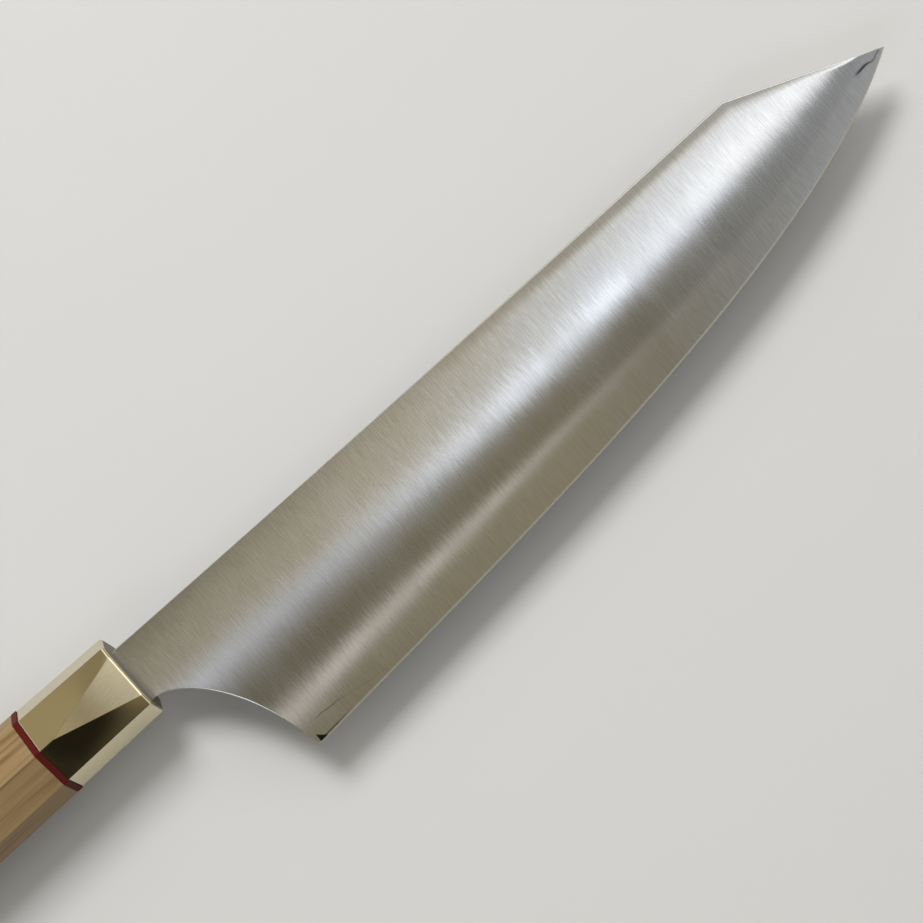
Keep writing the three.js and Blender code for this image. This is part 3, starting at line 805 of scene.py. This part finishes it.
# Light
# A soft lamp above the spine's side, in a dim warm room with a cool ceiling light, a window and a wall past
# it, and a rosy light on its other side. Their reflections lie as long bands on the blade.
LAMP_PLACE = Vector((0.20, 0.97, 1.24))
LAMP_WIDTH = 0.55
LAMP_POWER = 21.0
ROOM_COLOUR = (1.13, 1.0, 0.67)
PLAIN_COLOUR = (1.03, 1.0, 0.92)
WALL_COLOUR = (1.11, 1.0, 0.78)
CEILING_COLOUR = (0.92, 1.0, 1.18)
WINDOW_COLOUR = (0.86, 1.0, 1.27)
ROSY_COLOUR = (1.07, 1.0, 0.99)
CEILING_SLANT = 0.185
ROSY_SLANT = 0.088
CEILING_MIDDLE = 2.48
CEILING_SPREAD = 0.62
SPINE_CORNER_TURN = 0.4
CHOIL_GLOW = 3.0
BUTT_GLOW = 1.4

lamp_data = bpy.data.lights.new("soft lamp", "AREA")
lamp_data.shape = "SQUARE"
lamp_data.size = LAMP_WIDTH
lamp_data.energy = LAMP_POWER
lamp = bpy.data.objects.new("soft lamp", lamp_data)
lamp.location = LAMP_PLACE
lamp.rotation_euler = LAMP_PLACE.to_track_quat("Z", "Y").to_euler()
lamp.visible_glossy = False
bpy.context.scene.collection.objects.link(lamp)

room = bpy.data.worlds.new("room")
bpy.context.scene.world = room
room.use_nodes = True
tree = room.node_tree
gaze = add_node(tree, "ShaderNodeTexCoord").outputs["Generated"]
gaze_parts = add_node(tree, "ShaderNodeSeparateXYZ", {"Vector": gaze}).outputs


def lean(part):
    """Degrees that the gaze leans from straight up towards that axis."""
    angle = add_node(tree, "ShaderNodeMath", {0: part, 1: gaze_parts["Z"]}, operation="ARCTAN2")
    return product(angle.outputs["Value"], np.degrees(1.0))


lean_to_tip = lean(gaze_parts["X"])
lean_to_spine = lean(gaze_parts["Y"])
overhead = product(
    swelling(lean_to_tip, start=-35.0, end=-15.0),
    swelling(lean_to_tip, start=20.0, end=40.0, low=1.0, high=0.0),
)
above = swelling(lean_to_spine, start=-35.0, end=-10.0)
below = swelling(lean_to_spine, start=-35.0, end=-10.0, low=1.0, high=0.0)

# The lean across the bands, which run aslant and bow towards the handle and the tip
handle_bow = swelling(lean_to_tip, start=-9.0, end=2.5, low=-1.15, high=0.0)
tip_bow = swelling(lean_to_tip, start=3.5, end=7.5, high=0.12)
tip_droop = swelling(lean_to_tip, start=12.6, end=14.6, high=1.1)
aslant = sum_of(lean_to_spine, product(lean_to_tip, -CEILING_SLANT))
for bow in (handle_bow, tip_bow, tip_droop):
    aslant = sum_of(aslant, bow)
less_aslant = sum_of(lean_to_spine, product(lean_to_tip, -ROSY_SLANT))

# The warm room: above, below, past the rosy light and far to the spine's side
room_rise = swelling(lean_to_tip, start=-8.0, end=3.0, low=0.12, high=0.212)
room_fade = swelling(lean_to_tip, start=3.5, end=7.0, low=1.0, high=0.6)
room_level = product(product(room_rise, room_fade), above)
shore = swelling(less_aslant, start=-2.5, end=-1.3, low=1.0, high=0.0)
shore_fade = swelling(lean_to_tip, start=4.0, end=8.0, low=0.065, high=0.03)
shore_level = product(product(shore, shore_fade), above)
low_level = product(swelling(lean_to_tip, start=-13.0, end=-8.0, low=0.015, high=0.2), below)
side_fade = swelling(lean_to_tip, start=-15.0, end=-12.0, low=0.19, high=0.1)
side_level = product(swelling(lean_to_spine, start=20.0, end=45.0), side_fade)
warm_level = sum_of(sum_of(room_level, low_level), sum_of(shore_level, side_level))

# The window past the ceiling light, the wall past the window and the pale rim of the wall
past_ceiling = swelling(aslant, start=2.2, end=2.9)
window_fall = product(past_ceiling, swelling(aslant, start=3.2, end=5.9, low=1.0, high=0.0))
window_light = product(window_fall, swelling(lean_to_tip, start=1.0, end=7.5, high=0.76))
wall_aslant = sum_of(aslant, swelling(lean_to_tip, start=1.0, end=6.0, high=-1.2))
wall_rise = swelling(wall_aslant, start=2.6, end=3.2)
wall_fall = product(wall_rise, swelling(aslant, start=4.5, end=6.2, low=1.0, high=0.3))
wall_level = product(wall_fall, swelling(lean_to_tip, start=-9.0, end=3.0, low=0.18, high=0.26))
rim_rise = swelling(aslant, start=5.0, end=6.6)
rim_fall = product(rim_rise, swelling(aslant, start=14.0, end=20.0, low=1.0, high=0.0))
rim_level = product(rim_fall, swelling(lean_to_tip, start=-2.0, end=4.0, high=0.14))

# The ceiling light, a bell across the band that is sharper on its lower side by the tip
ceiling_rise = product(
    swelling(lean_to_tip, start=-2.8, end=4.6, low=0.29, high=1.48),
    swelling(lean_to_tip, start=6.0, end=10.0, low=1.0, high=0.67),
)
ceiling_end = swelling(lean_to_tip, start=-8.0, end=-3.0, low=0.38, high=0.0)
off_ceiling = sum_of(aslant, -CEILING_MIDDLE)
short_of_ceiling = add_node(tree, "ShaderNodeMath", {0: off_ceiling, 1: 0.0}, operation="MINIMUM")
sharpness = swelling(lean_to_tip, start=3.0, end=7.0, high=1.2)
sharpened = sum_of(off_ceiling, product(short_of_ceiling.outputs["Value"], sharpness))
ceiling_shape = bell(sharpened, middle=0.0, spread=CEILING_SPREAD)
ceiling_core = product(ceiling_shape, sum_of(ceiling_rise, ceiling_end))
foot_show = swelling(lean_to_tip, start=-1.0, end=3.0, low=0.09, high=0.0)
ceiling_foot = product(bell(off_ceiling, middle=-1.0, spread=0.55), foot_show)
ceiling_light = product(sum_of(ceiling_core, ceiling_foot), overhead)

# Ceiling light and window turn from cool to white towards the tip
cool_share = swelling(lean_to_tip, start=5.0, end=10.0, low=1.0, high=0.35)
white_share = swelling(lean_to_tip, start=5.0, end=10.0, low=0.0, high=0.65)
cool_level = product(ceiling_light, cool_share)
window_level = product(window_light, cool_share)
white_level = product(sum_of(ceiling_light, window_light), white_share)

# The rosy light
rosy_fade = swelling(lean_to_tip, start=-2.7, end=6.9, low=0.56, high=0.0)
rosy_level = product(product(bell(less_aslant, middle=-1.25, spread=0.52), rosy_fade), overhead)

# Lights that steeper faces see: the bolster's flats, the eased corners, the choil, the butt and the bevel
spine_corner = sum_of(lean_to_tip, product(lean_to_spine, SPINE_CORNER_TURN))
spine_rise = product(
    swelling(spine_corner, start=14.0, end=20.0, high=1.1), swelling(lean_to_spine, start=10.0, end=18.0)
)
spine_fall = product(
    swelling(lean_to_tip, start=30.0, end=45.0, low=1.0, high=0.0),
    swelling(lean_to_spine, start=38.0, end=52.0, low=1.0, high=0.3),
)
spine_glow = product(spine_rise, spine_fall)
tip_rise = sum_of(
    swelling(lean_to_tip, start=6.0, end=10.5, high=0.155),
    swelling(lean_to_tip, start=11.0, end=15.0, high=0.1),
)
tip_wall = product(tip_rise, above)
off_bevel = sum_of(product(bell(lean_to_spine, middle=-24.0, spread=12.0), -1.0), 1.0)
tip_glow = product(
    product(swelling(lean_to_tip, start=28.0, end=36.0, high=0.9), off_bevel),
    swelling(lean_to_tip, start=62.0, end=75.0, low=1.0, high=0.0),
)
choil_spot = product(
    bell(lean_to_tip, middle=-43.0, spread=14.0), bell(lean_to_spine, middle=-22.0, spread=11.0)
)
butt_spot = product(
    bell(lean_to_tip, middle=-48.0, spread=13.0), bell(lean_to_spine, middle=58.0, spread=14.0)
)
choil_glow = product(choil_spot, CHOIL_GLOW)
butt_glow = product(butt_spot, BUTT_GLOW)
edge_rise = swelling(lean_to_tip, start=-12.0, end=-6.0, high=0.2)
edge_glow = product(bell(lean_to_spine, middle=-26.5, spread=5.0), edge_rise)
far_handle = swelling(lean_to_tip, start=-72.0, end=-58.0, low=0.3, high=0.0)
far_edge = swelling(lean_to_spine, start=-72.0, end=-58.0, low=0.3, high=0.0)

# All lights together, each in its colour
plain_level = sum_of(white_level, rim_level)
for glow in (spine_glow, tip_glow, butt_glow, edge_glow, far_handle, far_edge):
    plain_level = sum_of(plain_level, glow)
all_light = tinted(ROOM_COLOUR, warm_level)
for colour, level in (
    (WALL_COLOUR, wall_level),
    (PLAIN_COLOUR, plain_level),
    (CEILING_COLOUR, sum_of(cool_level, choil_glow)),
    (WINDOW_COLOUR, sum_of(window_level, tip_wall)),
    (ROSY_COLOUR, rosy_level),
):
    more = add_node(tree, "ShaderNodeVectorMath", {0: all_light, 1: tinted(colour, level)}, operation="ADD")
    all_light = more.outputs["Vector"]
tree.links.new(all_light, tree.nodes["Background"].inputs["Color"])

# Camera
# A long lens almost square above the blade's right face, leaned a little to the handle and the edge, with
# the knife turned in the picture so that it runs up to the right.
CAMERA_LENS = 100.0
CAMERA_DISTANCE = 0.6074
CAMERA_AIM = Vector((0.0425, -0.0004, 0.0132))
CAMERA_BACK = Vector((-0.0102, -0.0627, 0.9980)).normalized()
KNIFE_TURN = np.radians(42.05)

knife_way = Vector((1, 0, 0)) - CAMERA_BACK * CAMERA_BACK.x
knife_way.normalize()
spine_way = CAMERA_BACK.cross(knife_way)
camera_right = knife_way * np.cos(KNIFE_TURN) - spine_way * np.sin(KNIFE_TURN)
camera_up = knife_way * np.sin(KNIFE_TURN) + spine_way * np.cos(KNIFE_TURN)
camera_data = bpy.data.cameras.new("camera")
camera_data.lens = CAMERA_LENS
camera_data.clip_start = 0.01
camera = bpy.data.objects.new("camera", camera_data)
camera.matrix_world = Matrix.Translation(CAMERA_AIM + CAMERA_BACK * CAMERA_DISTANCE) @ Matrix(
    (camera_right, camera_up, CAMERA_BACK)
).transposed().to_4x4()
bpy.context.scene.collection.objects.link(camera)
bpy.context.scene.camera = camera
bpy.context.scene.view_settings.view_transform = "Standard"
